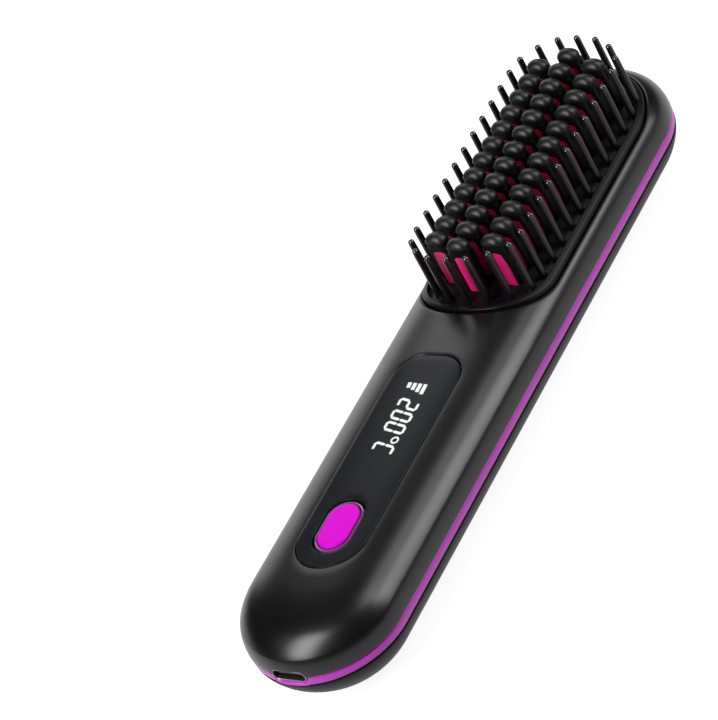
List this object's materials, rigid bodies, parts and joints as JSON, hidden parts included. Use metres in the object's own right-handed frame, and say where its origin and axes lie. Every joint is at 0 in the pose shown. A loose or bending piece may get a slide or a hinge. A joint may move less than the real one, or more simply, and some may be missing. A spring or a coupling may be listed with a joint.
{
  "type": "hair straightener brush",
  "caption": "Cordless heated straightening brush with a rounded two-part body, heated comb teeth with cool caps, a lit temperature display, one button and a charging port",
  "frame": {"origin": "centre of the bounding box's foot, on the flat that the back rests on", "axes": "+Y along the body towards the brush head, +Z out through the teeth, +X across"},
  "size_m": [0.0398, 0.1849, 0.0396],
  "materials": {
    "shell_black": "satin black moulded plastic",
    "trim_magenta": "coloured trim, satin gloss",
    "comb_black": "heat resistant black nylon",
    "silicone_black": "silicone",
    "heat_pink": "pink ceramic coating on aluminium",
    "cap_black": "gloss black heat resistant plastic",
    "ceramic_white": "stands for alumina ceramic",
    "mica": "stands for mica sheet",
    "spring_steel": "bright spring steel",
    "screw_steel": "zinc plated",
    "tray_grey": "glass filled high temperature plastic",
    "bead_glass": "stands for a glass bead",
    "fuse_metal": "drawn case",
    "chassis_grey": "natural grey plastic",
    "cell_blue": "wrapped lithium cell",
    "foam": "foam pad",
    "nickel": "nickel strip",
    "board_green": "solder mask",
    "chip_black": "moulded packages",
    "display_white": "white light box",
    "switch_black": "switch housing",
    "plunger_white": "switch plunger",
    "panel_slate": "smoked gloss lens",
    "digit_white": "lit windows",
    "key_magenta": "gloss button",
    "ring_clear": "clear light guide",
    "port_metal": "plated socket shell",
    "port_black": "socket tongue",
    "lead_black": "insulated wire",
    "plug_white": "board connector",
    "brass_tab": "terminal"
  },
  "bodies": {
    "housing": {"front_shell": "shell_black", "back_shell": "shell_black", "trim_ring": "trim_magenta", "comb_plate": "comb_black", "comb_pins": "comb_black", "plate_gasket": "silicone_black", "heat_blades": "heat_pink", "heater_plate": "heat_pink", "tooth_caps": "cap_black", "ptc_heaters": "ceramic_white", "mica_sheet": "mica", "heater_clamp": "spring_steel", "thermistor": "bead_glass", "thermal_fuse": "fuse_metal", "heat_tray": "tray_grey", "tray_screws": "screw_steel", "heater_tabs": "brass_tab", "chassis": "chassis_grey", "chassis_screws": "screw_steel", "battery_cells": "cell_blue", "cell_tape": "foam", "cell_pad": "foam", "cell_tabs": "nickel", "main_board": "board_green", "board_screws": "screw_steel", "board_chips": "chip_black", "display_module": "display_white", "lead_plug": "plug_white", "switch_body": "switch_black", "panel_lens": "panel_slate", "display_digits": "digit_white", "button_ring": "ring_clear", "usb_socket": "port_metal", "usb_tongue": "port_black", "charge_board": "board_green", "charge_chips": "chip_black", "heater_leads": "lead_black", "cell_leads": "lead_black"},
    "key": {"button": "key_magenta", "switch_plunger": "plunger_white"}
  },
  "joints": [
    {"name": "button_press", "type": "slide", "parent": "housing", "child": "key", "axis": [0, 0, -1], "range_m": [0, 0.0006], "stiffness_N_per_m": 1500, "springref_m": -0.0003}
  ]
}
